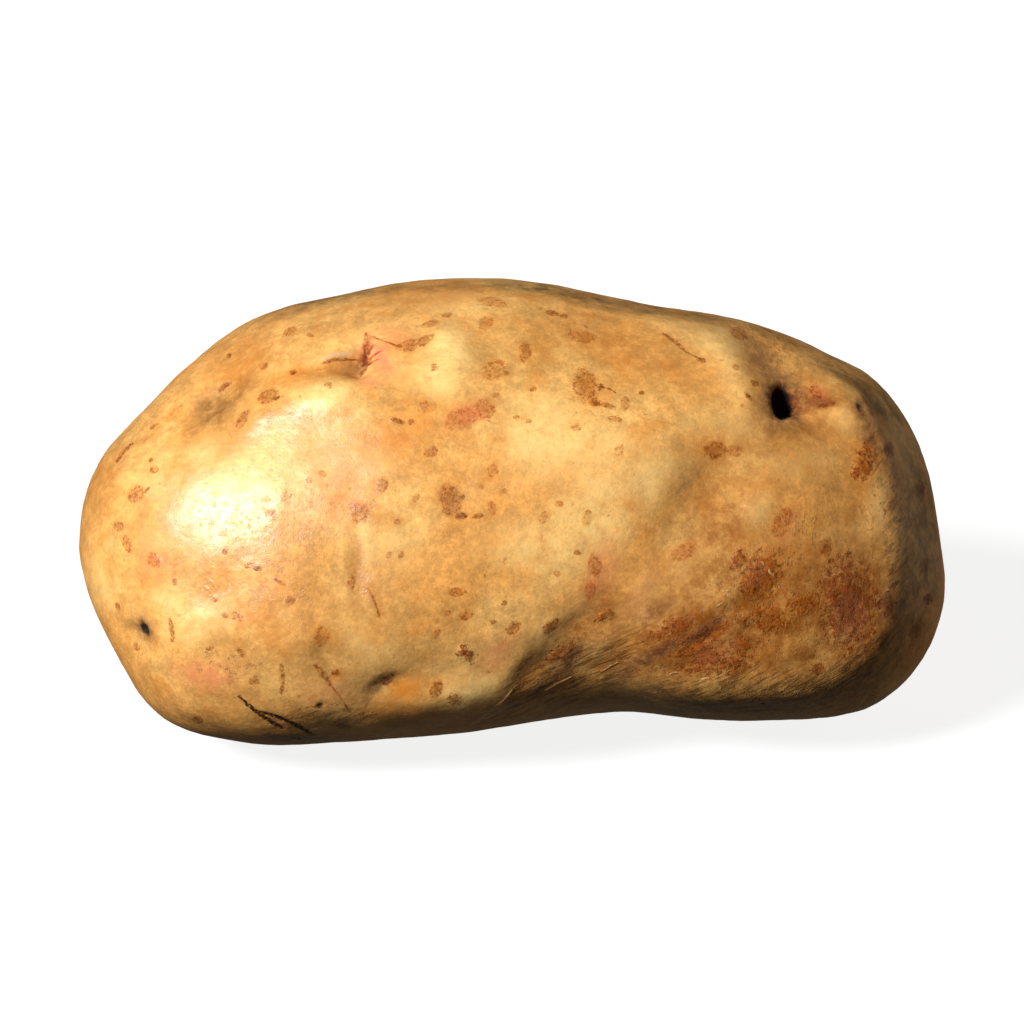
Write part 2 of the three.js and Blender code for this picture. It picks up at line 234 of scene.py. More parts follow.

# Soft stain marks, and painted light and shade, each kind with its own colour
stainsAndPaintedLight = {
    # dusky is mostly painted shade: in dents and valleys, along the top edge, in the waist and over the
    # lower right lobe, where the skin turns from the light; a few darken the skin round scabs
    "duskyShade": marksOf("strength", [
        ((214, 406), 3.9, 1.8, 38, 0.85), ((239, 380), 3.4, 1.5, 38, 0.75),
        ((245, 352), 7.5, 3.6, 40, 0.65), ((235, 420), 5.0, 1.8, 40, 0.45),
        ((300, 340), 5.0, 2.0, 30, 0.3), ((96, 490), 8.5, 2.2, 74, 0.7),
        ((130, 440), 6.0, 1.6, 55, 0.35), ((400, 306), 9.0, 1.8, 8, 0.4),
        ((345, 330), 4.0, 1.5, 15, 0.3), ((560, 330), 7.0, 2.4, -12, 0.4),
        ((535, 352), 3.2, 2.6, 0, 0.45), ((645, 350), 6.0, 3.0, -20, 0.65),
        ((660, 375), 4.0, 3.0, 0, 0.35), ((768, 365), 4.5, 2.4, -60, 0.4),
        ((808, 378), 3.0, 2.0, -30, 0.3), ((822, 402), 4.2, 1.1, 4, 0.75),
        ((800, 432), 5.0, 2.6, 10, 0.4), ((868, 430), 5.5, 2.4, -65, 0.75),
        ((690, 497), 5.2, 2.0, 42, 0.45), ((655, 545), 4.6, 2.0, 62, 0.3),
        ((600, 622), 5.5, 2.0, 42, 0.5), ((555, 655), 6.5, 2.2, 36, 0.65),
        ((720, 530), 5.0, 3.0, 40, 0.6), ((690, 590), 7.0, 4.0, 35, 0.6),
        ((665, 635), 5.0, 3.0, 25, 0.7), ((740, 590), 5.0, 4.0, 20, 0.5),
        ((752, 455), 9.0, 6.0, 20, 0.6), ((790, 590), 10.0, 6.0, 12, 0.7),
        ((695, 640), 9.0, 4.2, 16, 0.8), ((860, 610), 8.0, 4.6, 80, 0.6),
        ((770, 662), 8.0, 2.8, 5, 0.5), ((356, 570), 4.6, 1.2, 94, 0.9),
        ((305, 645), 7.5, 4.0, -22, 0.5), ((330, 600), 8.0, 4.0, 0, 0.35),
        ((383, 588), 3.4, 5.0, 0, 0.6), ((240, 658), 5.0, 2.6, -10, 0.6),
        ((385, 705), 5.0, 1.6, 0, 0.6), ((250, 700), 6.0, 2.0, -20, 0.4),
        ((455, 500), 4.0, 3.0, 40, 0.3), ((470, 412), 4.0, 1.8, 25, 0.4),
        ((497, 371), 2.2, 1.8, 0, 0.3), ((410, 344), 3.5, 1.4, 20, 0.35),
    ]),
    # rust is red-brown skin on the lower right lobe, darkened there as painted shade where the lobe
    # turns from the light, and painted shade in the groove beside the deep eye
    "rust": marksOf("strength", [
        ((806, 404), 3.4, 1.1, 0, 0.95), ((797, 402), 1.6, 1.3, 90, 0.95),
        ((770, 605), 14.0, 7.6, 10, 0.72), ((790, 665), 9.0, 3.0, 6, 0.5),
        ((680, 640), 9.5, 4.4, 18, 0.75), ((866, 610), 8.0, 4.6, 95, 0.7),
        ((590, 622), 6.0, 2.6, 40, 0.65), ((725, 520), 6.0, 4.4, 30, 0.5),
        ((805, 412), 5.0, 3.6, 0, 0.45), ((855, 470), 6.0, 3.0, 100, 0.25),
    ]),
    # olive is painted shade: along the top, right and bottom edges, where the skin turns from the light,
    # in the oval dent and beside the deep eye
    "oliveShade": marksOf("strength", [
        ((213, 408), 3.3, 1.8, 32, 0.5), ((237, 388), 2.6, 1.2, 38, 0.34),
        ((295, 309), 4.6, 0.8, 16, 0.55), ((365, 293), 5.4, 0.8, 10, 0.6),
        ((440, 287), 5.4, 0.7, 2, 0.45), ((505, 286), 4.4, 0.7, -3, 0.6),
        ((545, 289), 3.6, 0.7, -9, 0.8), ((590, 299), 4.4, 1.0, -12, 0.85),
        ((645, 308), 4.4, 0.9, -9, 0.75), ((705, 318), 4.4, 0.8, -10, 0.7),
        ((775, 336), 4.8, 0.8, -25, 0.5), ((835, 368), 4.8, 1.3, -33, 0.75),
        ((882, 405), 4.6, 1.5, -48, 0.75), ((330, 297), 5.0, 0.5, 14, 0.5),
        ((920, 500), 9.0, 2.4, -78, 0.6), ((915, 590), 10.0, 3.0, 82, 0.6),
        ((880, 660), 6.0, 2.4, 60, 0.6), ((790, 698), 9.0, 2.6, 8, 0.85),
        ((690, 700), 9.0, 2.4, 0, 0.85), ((590, 697), 7.0, 1.6, 5, 0.5),
        ((530, 690), 4.0, 1.0, 28, 0.4), ((313, 722), 3.4, 1.3, 5, 0.75),
        ((348, 724), 2.4, 1.0, 0, 0.75), ((384, 683), 1.9, 1.0, 28, 0.7),
        ((405, 722), 4.0, 0.6, 6, 0.3), ((205, 722), 5.0, 0.8, -16, 0.5),
        ((300, 738), 8.0, 0.7, 0, 0.8), ((762, 400), 2.6, 1.8, 80, 0.5),
        ((772, 425), 2.0, 1.0, -50, 0.4),
    ]),
    # umber is mostly painted shade: round the deep eye and the pits, in the eye, in the creases at the
    # waist and along the top right edge; some are dark brown streaks
    "umber": marksOf("strength", [
        ((213, 408), 3.2, 1.8, 30, 0.14), ((700, 632), 2.6, 0.7, 28, 0.8),
        ((716, 622), 1.6, 0.4, 32, 0.7), ((664, 650), 3.2, 0.7, 32, 0.75),
        ((636, 664), 3.4, 0.8, 30, 0.75), ((655, 612), 3.4, 1.0, 30, 0.45),
        ((545, 640), 2.6, 1.0, 40, 0.5), ((522, 668), 3.2, 0.9, 38, 0.6),
        ((570, 655), 2.8, 0.8, 35, 0.7), ((372, 690), 2.6, 1.0, 32, 0.7),
        ((888, 600), 2.4, 0.8, 80, 0.6), ((868, 436), 1.6, 0.8, -60, 0.7),
        ((764, 362), 2.6, 1.4, -60, 0.45), ((779, 402), 3.0, 2.3, 96, 0.85),
        ((784, 383), 1.6, 1.2, 0, 0.6), ((793, 402), 2.0, 1.3, 92, 0.95),
        ((808, 403), 2.6, 0.9, 4, 0.4), ((861, 410), 1.5, 1.0, 110, 0.6),
        ((361, 366), 1.2, 0.7, 70, 0.6), ((363, 357), 1.3, 0.35, 75, 0.4),
        ((349, 369), 1.6, 0.8, 10, 0.4), ((143, 630), 1.9, 1.1, 112, 0.8),
        ((563, 667), 1.8, 0.8, 40, 0.6), ((690, 478), 2.2, 0.7, 42, 0.4),
    ]),
    "orange": marksOf("strength", [
        # the first two, under the crease left of the eye, are painted shade
        ((300, 374), 4.4, 1.2, 8, 0.9), ((338, 371), 2.6, 1.1, -8, 0.8),
        ((407, 686), 3.2, 1.6, 5, 0.9), ((338, 676), 1.0, 0.8, 0, 0.8),
        ((600, 350), 4.5, 2.0, -20, 0.5), ((622, 378), 2.6, 2.0, 0, 0.5),
        ((588, 388), 2.4, 2.2, 0, 0.5), ((763, 580), 3.6, 2.4, 60, 0.9),
        ((772, 620), 4.0, 1.6, -5, 0.9), ((720, 655), 6.0, 2.6, 8, 0.8),
        ((798, 560), 4.0, 3.0, 10, 0.5), ((810, 610), 3.6, 2.4, 10, 0.6),
        ((865, 465), 3.0, 2.0, 75, 0.6), ((840, 440), 4.0, 2.0, -30, 0.4),
        ((715, 450), 3.0, 2.0, 0, 0.4), ((150, 460), 3.0, 1.2, 60, 0.25),
        ((105, 525), 5.0, 0.8, 80, 0.3), ((228, 450), 2.5, 0.9, 40, 0.5),
        ((395, 435), 5.0, 2.4, 20, 0.45), ((250, 615), 5.0, 2.5, -30, 0.45),
        ((440, 296), 8.0, 1.2, 0, 0.4), ((240, 372), 5.0, 2.4, 40, 0.4),
        ((910, 655), 3.4, 1.6, 60, 0.6), ((560, 480), 9.0, 4.0, 0, 0.15),
    ]),
    "blush": marksOf("strength", [
        ((385, 342), 4.0, 2.0, 10, 0.4), ((381, 360), 2.6, 1.7, -60, 1.0),
        ((368, 382), 1.5, 1.0, 0, 0.6), ((345, 480), 5.0, 5.0, 0, 0.45),
        ((600, 575), 5.0, 2.0, 75, 0.4), ((640, 600), 3.5, 1.6, 60, 0.3),
        ((470, 413), 3.2, 1.6, 25, 0.5), ((205, 675), 4.0, 2.0, -10, 0.6),
        ((843, 580), 4.0, 2.6, 95, 0.25), ((785, 525), 3.0, 1.8, 60, 0.3),
        ((690, 550), 2.4, 1.2, 20, 0.3), ((150, 560), 3.0, 2.0, -60, 0.4),
        ((500, 650), 3.0, 1.6, 40, 0.4), ((330, 690), 4.0, 1.6, 0, 0.35),
        ((818, 394), 1.6, 1.0, -50, 0.7),
    ]),
    "wine": marksOf("strength", [
        ((364, 357), 2.1, 0.75, 76, 0.85), ((369, 343), 1.4, 0.5, 60, 0.5),
        ((850, 618), 3.4, 2.4, 95, 0.4), ((793, 400), 1.7, 0.8, 95, 0.95),
        ((716, 652), 3.4, 1.6, 20, 0.35), ((755, 574), 2.0, 1.6, 70, 0.35),
    ]),
    # pale is painted light: it brightens the bumps and faces that turn to the light and the skin round
    # the highlight
    "pale": marksOf("strength", [
        ((522, 545), 5.0, 3.4, 0, 0.5), ((605, 535), 3.0, 3.0, 0, 0.5),
        ((800, 462), 5.0, 2.4, 0, 0.35), ((660, 466), 3.4, 2.2, 0, 0.4),
        ((724, 338), 3.4, 1.6, -20, 0.4), ((380, 655), 3.6, 2.0, 10, 0.4),
        ((450, 303), 6.0, 1.4, 0, 0.4), ((100, 585), 4.0, 1.6, -70, 0.5),
        ((155, 470), 4.0, 2.0, 60, 0.5), ((327, 397), 3.6, 1.8, 5, 1.0),
        ((448, 352), 2.8, 3.4, 0, 1.0), ((440, 382), 3.0, 2.0, 0, 0.6),
        ((410, 380), 3.0, 2.0, 0, 0.3), ((300, 468), 6.0, 4.0, 25, 0.55),
        ((238, 492), 8.0, 5.0, 30, 1.0), ((200, 455), 3.0, 1.6, 30, 0.6),
        ((195, 622), 4.2, 2.8, 10, 0.8), ((165, 600), 3.0, 2.0, 30, 0.6),
        ((540, 440), 5.0, 5.5, 10, 0.7), ((600, 455), 6.0, 3.6, 10, 0.5),
        ((590, 505), 6.0, 3.6, 30, 0.6), ((650, 485), 3.4, 2.2, 60, 0.5),
        ((560, 555), 5.0, 3.0, 60, 0.4), ((715, 350), 4.6, 1.8, -45, 0.35),
        ((735, 380), 3.4, 1.8, -70, 0.45), ((700, 420), 4.0, 2.2, 30, 0.25),
        ((757, 512), 2.4, 1.7, 60, 0.8), ((740, 425), 3.0, 2.0, 0, 0.4),
        ((878, 500), 4.0, 1.4, 85, 0.5), ((598, 646), 2.2, 1.4, 40, 0.4),
        ((643, 590), 2.2, 1.5, 60, 0.35), ((842, 422), 2.6, 1.6, -40, 0.7),
        ((160, 540), 2.6, 1.8, 0, 0.3), ((455, 665), 5.0, 2.4, 10, 0.35),
        ((465, 690), 4.4, 1.8, 8, 0.9), ((380, 545), 4.0, 3.0, 0, 0.4),
        ((375, 462), 3.0, 2.0, 0, 0.4), ((355, 640), 2.4, 1.6, 0, 0.35),
    ]),
    "fibre": marksOf("strength", [
        ((884, 470), 9.0, 1.6, -72, 0.7), ((898, 570), 9.0, 2.0, 86, 0.8),
        ((862, 662), 6.0, 2.2, 40, 1.0), ((740, 688), 12.0, 2.4, 4, 1.0),
        ((590, 672), 9.0, 3.0, 30, 1.0), ((520, 694), 6.0, 2.0, 35, 0.9),
        ((320, 720), 8.0, 1.6, 4, 0.7), ((776, 350), 6.0, 3.0, -40, 0.5),
        ((150, 430), 8.0, 3.0, 50, 0.3),
    ]),
    "scurf": marksOf("strength", [
        ((922, 520), 8.0, 2.0, -80, 0.9), ((800, 700), 16.0, 2.2, 2, 0.8),
        ((916, 560), 11.0, 2.6, 88, 1.0), ((230, 665), 6.0, 3.0, -10, 0.6),
        ((770, 600), 9.0, 7.0, 10, 0.9), ((700, 650), 9.0, 4.5, 12, 1.0),
        ((850, 620), 8.0, 5.0, 100, 0.9), ((885, 520), 8.0, 2.5, 95, 0.8),
        ((800, 520), 5.0, 4.0, 20, 0.5), ((560, 665), 7.0, 2.4, 35, 1.0),
        ((250, 520), 9.0, 6.0, 20, 0.3), ((340, 500), 6.0, 5.0, 0, 0.35),
        ((330, 715), 6.0, 1.6, 5, 0.8), ((300, 590), 5.0, 3.0, 0, 0.3),
    ]),
}

# Low swells and dips, in millimetres
swells = marksOf("rise", [
    ((455, 698), 9.5, 2.4, 8, 0.95), ((214, 406), 3.9, 1.8, 38, -0.5),
    ((239, 380), 3.2, 1.4, 38, -0.35), ((243, 345), 5.0, 2.4, 38, -0.35),
    ((262, 415), 3.0, 1.2, 45, 0.2), ((327, 397), 3.6, 1.7, 5, 0.3),
    ((334, 368), 4.2, 0.8, 3, -0.4), ((361, 364), 2.0, 1.3, 78, -0.45),
    ((336, 354), 3.0, 0.9, 6, 0.15), ((448, 352), 2.8, 3.0, 0, 0.35),
    ((690, 505), 3.4, 1.7, 42, 0.15), ((643, 590), 2.2, 1.7, 60, 0.3),
    ((600, 645), 2.4, 1.6, 40, 0.4), ((572, 628), 4.0, 1.2, 42, -0.3),
    ((540, 664), 4.6, 1.3, 38, -0.3), ((560, 640), 2.0, 1.0, 40, 0.2),
    ((757, 512), 2.4, 1.7, 60, 0.3), ((765, 362), 4.4, 2.6, -60, -0.3),
    ((850, 415), 2.0, 1.6, -50, 0.35), ((735, 375), 3.4, 1.6, -65, 0.3),
    ((321, 652), 2.0, 1.2, -50, -0.3), ((303, 640), 2.4, 1.4, -40, 0.2),
    ((384, 684), 2.0, 0.9, 28, -0.3), ((410, 690), 2.4, 1.2, 8, 0.2),
    ((357, 566), 4.4, 1.1, 92, -0.2), ((745, 618), 2.2, 1.0, 20, 0.25),
    ((720, 600), 3.0, 1.2, 30, 0.25), ((770, 590), 2.6, 1.6, 60, -0.25),
    ((790, 650), 3.6, 1.4, 10, 0.25), ((705, 638), 3.0, 0.8, 28, -0.3),
    ((148, 632), 2.2, 2.6, 0, -0.25), ((195, 622), 4.0, 2.6, 10, 0.25),
])

# Pits, with their depth in millimetres, how dark the shade painted into them is and how far that reaches
pits = marksOf("depth dark reach", [
    ((783, 402), 1.8, 1.0, 94, 1.6, 1.0, 1.7), ((860, 407), 0.8, 0.55, 110, 0.3, 0.6, 1.4),
    ((143, 630), 1.0, 0.5, 112, 0.35, 0.85, 1.5), ((320, 706), 0.55, 0.4, 20, 0.2, 0.7, 1.4),
    ((293, 372), 0.3, 0.26, 0, 0.1, 0.2, 1.4), ((299, 739), 0.3, 0.2, 0, 0.1, 0.6, 1.4),
    ((763, 704), 0.3, 0.2, 0, 0.1, 0.6, 1.4),
])

# Thin lines, each from one place in the photograph to another, in pixels, with half its width in
# millimetres, how much it bows and its colour
lineNames = ("from", "to", "wide", "bend", "colour")
# The pale lines are painted glints, where small bumps catch the light; the lilac line from (322, 359) is
# a painted highlight on the ridge above the crease left of the eye, and the dark line from (322, 363)
# below it is painted shade in that crease
scratches = [dict(zip(lineNames, row)) for row in (
    ((239, 696), (284, 729), 0.26, -0.04, "black"), ((254, 711), (313, 735), 0.26, 0.05, "black"),
    ((315, 665), (332, 686), 0.42, 0.02, "dark"), ((330, 684), (351, 713), 0.15, 0.02, "dark"),
    ((368, 588), (380, 618), 0.2, 0.03, "dark"), ((366, 333), (361, 374), 0.4, 0.04, "dark"),
    ((375, 344), (362, 364), 0.3, -0.08, "dark"), ((381, 351), (363, 365), 0.18, -0.06, "dark"),
    ((379, 359), (363, 367), 0.14, -0.06, "dark"), ((384, 341), (400, 347), 0.14, 0.0, "dark"),
    ((370, 336), (384, 341), 0.14, 0.0, "dark"), ((322, 363), (356, 360), 0.2, 0.06, "dark"),
    ((217, 391), (229, 381), 0.3, 0.08, "dark"), ((662, 333), (686, 352), 0.26, 0.05, "dark"),
    ((684, 350), (702, 360), 0.14, 0.0, "dark"), ((116, 463), (133, 443), 0.26, 0.05, "dark"),
    ((281, 664), (282, 694), 0.36, 0.03, "dark"), ((170, 618), (173, 642), 0.34, 0.03, "dark"),
    ((598, 387), (616, 393), 0.14, 0.1, "dark"), ((466, 730), (503, 697), 0.28, 0.02, "pale"),
    ((500, 700), (513, 686), 0.14, 0.02, "pale"), ((543, 690), (572, 676), 0.12, 0.0, "pale"),
    ((600, 672), (618, 662), 0.1, 0.0, "pale"), ((856, 508), (861, 513), 0.13, 0.2, "pale"),
    ((868, 510), (872, 516), 0.13, -0.2, "pale"), ((864, 521), (868, 525), 0.11, 0.2, "pale"),
    ((769, 569), (774, 575), 0.15, -0.2, "pale"), ((759, 562), (764, 565), 0.12, 0.2, "pale"),
    ((716, 607), (722, 603), 0.12, 0.1, "pale"), ((883, 594), (889, 589), 0.12, 0.1, "pale"),
    ((876, 604), (881, 598), 0.1, 0.1, "pale"), ((668, 676), (676, 672), 0.1, 0.1, "pale"),
    ((700, 681), (709, 678), 0.1, 0.1, "pale"), ((204, 586), (211, 593), 0.12, 0.1, "pale"),
    ((210, 580), (216, 587), 0.12, 0.1, "pale"), ((322, 359), (353, 355), 0.26, 0.06, "highlightLilac"),
)]

# Eyes on the side away from the camera, as the CAD has them: right and up of the middle, in
# millimetres, seen through the tuber from the camera
backEyes = [(50.5, -7.0), (41.0, 4.0), (14.0, 14.0), (22.0, -5.0), (-14.0, -6.0), (-38.0, 6.0)]


# Where points of the mesh land in the photograph, and how far they lie from a mark there
pixelsPerMm = 7.87
halfPicture = shot["pixels"] / 2
lineEnds = 0.35  # how wide a line still is at its ends, as a share of its middle


def inPicture(points):
    rays = points - np.array(shot["aim"] - shotForward * shot["distance"])
    zoom = shot["lens"] / shot["sensor"] * shot["pixels"] / (rays @ np.array(shotForward))
    across = halfPicture + rays @ np.array(shotRight) * zoom
    down = halfPicture - rays @ np.array(shotUp) * zoom
    return across, down


def fromMark(mark, across, down):
    # 0 at the middle of the mark and 1 on its edge
    turn = math.radians(mark["turn"])
    right = (across - mark["at"][0]) / pixelsPerMm
    up = (mark["at"][1] - down) / pixelsPerMm
    along = right * math.cos(turn) + up * math.sin(turn)
    aside = up * math.cos(turn) - right * math.sin(turn)
    return np.hypot(along / mark["long"], aside / mark["wide"])


def fromScratch(scratch, across, down):
    # 0 on the line and 1 at its side, which narrows to both ends
    start = np.array(scratch["from"], float)
    run = np.array(scratch["to"], float) - start
    length = np.hypot(*run)
    right, up = across - start[0], down - start[1]
    share = (right * run[0] + up * run[1]) / length ** 2
    inside = np.clip(share, 0, 1)
    arch = 4 * inside * (1 - inside)
    aside = (right * run[1] - up * run[0]) / length - scratch["bend"] * length * arch
    past = (share - inside) * length
    width = scratch["wide"] * pixelsPerMm * (lineEnds + (1 - lineEnds) * np.sqrt(arch))
    return np.hypot(aside, past) / width


def rise(value, low, high):
    # 0 below low and 1 above high, with a soft step between them
    share = np.clip((value - low) / (high - low), 0, 1)
    return share * share * (3 - 2 * share)


# Skin: the CAD tuber, welded and smoothed, with finer faces where the camera looks
skinMesh = {
    "weld": 0.00001,
    "smoothLevels": 1,
    "frontFacing": -0.12,
    "markEdge": 1.15,               # how far a mark and a line reach, in their own sizes
    "lineEdge": 1.2,
    "margins": (1.0, 0.30, 0.10),  # mm of finer faces around that, for each cut
    "smallMark": 0.42,              # mm, marks narrower than this are cut once more
}


def asArray(mesh, what, name, count):
    values = np.empty(count * 3)
    getattr(mesh, what).foreach_get(name, values)
    return values.reshape(count, 3)


def selectFaces(skin, chosen):
    bpy.context.view_layer.objects.active = skin
    bpy.ops.object.mode_set(mode="EDIT")
    bpy.ops.mesh.select_all(action="DESELECT")
    bpy.ops.object.mode_set(mode="OBJECT")
    skin.data.polygons.foreach_set("select", chosen)
    bpy.ops.object.mode_set(mode="EDIT")


def nearMarks(points, marks, lines, margin):
    across, down = inPicture(points)
    near = np.zeros(len(points), bool)
    for mark in marks:
        reach = skinMesh["markEdge"] + margin / min(mark["long"], mark["wide"])
        near |= fromMark(mark, across, down) < reach
    for line in lines:
        near |= fromScratch(line, across, down) < skinMesh["lineEdge"] + margin / line["wide"]
    return near


def growSkin():
    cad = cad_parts["potato"]
    skin = bpy.data.objects.new("potatoSkin", cad.data.copy())
    bpy.context.scene.collection.objects.link(skin)
    bpy.ops.object.select_all(action="DESELECT")
    skin.select_set(True)
    bpy.context.view_layer.objects.active = skin
    bpy.context.tool_settings.mesh_select_mode = (False, False, True)
    bpy.ops.object.mode_set(mode="EDIT")
    bpy.ops.mesh.select_all(action="SELECT")
    bpy.ops.mesh.remove_doubles(threshold=skinMesh["weld"])
    bpy.ops.mesh.customdata_custom_splitnormals_clear()
    bpy.ops.object.mode_set(mode="OBJECT")
    smooth = skin.modifiers.new("smooth", "SUBSURF")
    smooth.levels = skinMesh["smoothLevels"]
    smooth.render_levels = skinMesh["smoothLevels"]
    bpy.ops.object.modifier_apply(modifier="smooth")

    # three cuts: round every mark, closer round them, then round the small ones
    small = [m for m in scabs + pits if min(m["long"], m["wide"]) < skinMesh["smallMark"]]
    cuts = (scabs + russets + pits + swells, scabs + russets + pits, small + pits[:1])
    for marks, margin in zip(cuts, skinMesh["margins"]):
        faces = skin.data.polygons
        centres = asArray(skin.data, "polygons", "center", len(faces))
        normals = asArray(skin.data, "polygons", "normal", len(faces))
        chosen = normals @ -np.array(shotForward) > skinMesh["frontFacing"]
        chosen &= nearMarks(centres, marks, scratches, margin)
        selectFaces(skin, chosen)
        bpy.ops.mesh.subdivide(number_cuts=1, smoothness=1.0)
        bpy.ops.object.mode_set(mode="OBJECT")
        print("Skin: cut to", len(skin.data.polygons), "faces and", len(skin.data.vertices), "points")
    for name in [layer.name for layer in skin.data.uv_layers]:
        skin.data.uv_layers.remove(skin.data.uv_layers[name])
    return skin


# Swells, lumps and grain pushed out of the whole skin, in millimetres
roughness = [
    {"name": "lowSwells", "size": 11.0, "height": 0.55, "depth": 1},
    {"name": "lumps", "size": 4.2, "height": 0.24, "depth": 2},
    {"name": "dimples", "size": 2.6, "height": 0.05, "depth": 1},
    {"name": "grain", "size": 1.3, "height": 0.05, "depth": 2},
]


def roughen(skin):
    bpy.ops.object.select_all(action="DESELECT")
    skin.select_set(True)
    bpy.context.view_layer.objects.active = skin
    for layer in roughness:
        clouds = bpy.data.textures.new(layer["name"], "CLOUDS")
        clouds.noise_scale = layer["size"] * mm
        clouds.noise_depth = layer["depth"]
        push = skin.modifiers.new(layer["name"], "DISPLACE")
        push.texture = clouds
        push.texture_coords = "LOCAL"
        push.strength = layer["height"] * mm
        push.mid_level = 0.5
        bpy.ops.object.modifier_apply(modifier=layer["name"])
    print("Skin: roughened")


# Relief of the marks: heights in millimetres, and the part of a mark's field where it rises
relief = {
    "scabRise": 0.02,
    "scabSlope": (0.25, 0.5),
    "russetRise": 0.06,
    "russetSlope": (0.25, 0.6),
    "blackLine": -0.08,
    "darkLine": -0.02,
    "paleLine": 0.06,
    "highlightLilacLine": 0.04,
    "lineSlope": (0.2, 0.6),
    # a pit's dark is painted shade
    "holeRim": 1.1,          # how wide the edge of a pit's dark is
}
fades = {
    "hardMark": 1.5,         # where scabs, russets and lines end, in their own sizes
    # stain also sets the edge of the painted light and shade
    "stain": 2.8,            # the higher, the harder the edge
    "swell": 2.4,
    "seen": (0.02, 0.12),    # how far the skin faces the camera
    "unseen": (0.05, 0.2),   # how far it faces away
    "near": (4.0, 8.0),      # mm from the middle of the tuber, towards the camera
}
backEyeMark = {"long": 2.6, "wide": 1.8, "turn": 20}


def hardField(distance):
    # 1 in the middle of a mark and 0 where it ends
    return np.clip(1 - distance / fades["hardMark"], 0, 1)


def markSkin(skin):
    mesh = skin.data
    count = len(mesh.vertices)
    places = asArray(mesh, "vertices", "co", count)
    normals = asArray(mesh, "vertex_normals", "vector", count)
    across, down = inPicture(places)
    seen = rise(normals @ -np.array(shotForward), *fades["seen"])
    unseen = rise(normals @ np.array(shotForward), *fades["unseen"])
    fields = {}
    push = np.zeros(count)

    for name, marks in (("scab", scabs), ("russet", russets)):
        field = np.zeros(count)
        tone = np.zeros(count)
        for mark in marks:
            inside = hardField(fromMark(mark, across, down)) * seen
            tone = np.where(inside > field, mark["tone"], tone)
            field = np.maximum(field, inside)
        push += relief[name + "Rise"] * rise(field, *relief[name + "Slope"])
        fields[name] = field
        fields[name + "Tone"] = tone

    # soft fields of the stain marks and of the painted light and shade
    for name, marks in stainsAndPaintedLight.items():
        clear = np.ones(count)
        for mark in marks:
            fade = np.exp(-fromMark(mark, across, down) ** fades["stain"])
            clear *= 1 - mark["strength"] * fade * seen
        fields[name] = 1 - clear

    for swell in swells:
        push += swell["rise"] * np.exp(-fromMark(swell, across, down) ** fades["swell"]) * seen

    # the walls of a pit turn away from the camera, so here nearness counts
    towards = (places - np.array(shot["aim"])) @ -np.array(shotForward)
    near = rise(towards / mm, *fades["near"])
    # painted shade in the pits, full in the middle and fading over the rim
    hole = np.zeros(count)
    for pit in pits:
        away = fromMark(pit, across, down)
        push -= pit["depth"] * (1 - rise(away, 0, pit["reach"])) * near
        shadow = 1 - rise(away, pit["reach"] - relief["holeRim"], pit["reach"])
        hole = np.maximum(hole, pit["dark"] * shadow * near)
    fields["hole"] = hole

    for name in ("blackLine", "darkLine", "paleLine", "highlightLilacLine"):
        field = np.zeros(count)
        for scratch in scratches:
            if scratch["colour"] + "Line" == name:
                field = np.maximum(field, hardField(fromScratch(scratch, across, down)) * seen)
        push += relief[name] * rise(field, *relief["lineSlope"])
        fields[name] = field

    eyeField = np.zeros(count)
    for right, up in backEyes:
        at = (halfPicture + right * pixelsPerMm, halfPicture - up * pixelsPerMm)
        eye = dict(backEyeMark, at=at)
        eyeField = np.maximum(eyeField, np.exp(-fromMark(eye, across, down) ** 2) * unseen)
    fields["backEye"] = eyeField
    fields["farSide"] = unseen

    places += normals * (push * mm)[:, None]
    places[:, 2] = np.maximum(places[:, 2], 0)  # what it rests on stays flat
    mesh.vertices.foreach_set("co", places.ravel())
    for name, field in fields.items():
        layer = mesh.attributes.new(name, "FLOAT", "POINT")
        layer.data.foreach_set("value", field)
    mesh.update()
    print("Skin: marks set on", count, "points")


# Colours of the skin, as the light falls on it
skinColours = {
    "tan": (0.76, 0.350, 0.084, 1),
    "straw": (0.86, 0.470, 0.138, 1),
    # pale is painted light
    "pale": (1.00, 0.68, 0.25, 1),
    "orange": (0.66, 0.215, 0.022, 1),
    # dusky and olive are mostly painted shade, rust and umber partly
    "duskyShade": (0.43, 0.170, 0.036, 1),
    "rust": (0.30, 0.088, 0.010, 1),
    "oliveShade": (0.125, 0.070, 0.020, 1),
    "umber": (0.085, 0.026, 0.004, 1),
    "blush": (0.82, 0.25, 0.10, 1),
    "wine": (0.32, 0.044, 0.006, 1),
    "fleck": (0.30, 0.105, 0.020, 1),
    "lenticel": (0.56, 0.215, 0.045, 1),
    "vein": (0.13, 0.032, 0.005, 1),
    "russet": (0.40, 0.095, 0.006, 1),
    "crimson": (0.27, 0.064, 0.013, 1),
    "scabPale": (0.92, 0.83, 0.75, 1),   # these four multiply the skin's colour
    "scabDeep": (0.76, 0.56, 0.38, 1),
    "fleckPale": (0.76, 0.59, 0.47, 1),
    "fleckDeep": (0.42, 0.24, 0.11, 1),
    "scabHeart": (0.15, 0.048, 0.004, 1),
    "blackLine": (0.06, 0.04, 0.02, 1),  # and so do these two
    "darkLine": (0.46, 0.26, 0.14, 1),
    # painted glints and a painted highlight line
    "paleLine": (0.80, 0.50, 0.22, 1),
    "highlightLilacLine": (0.66, 0.45, 0.36, 1),
    # near black painted shade in the pits
    "hole": (0.008, 0.003, 0.001, 1),
}

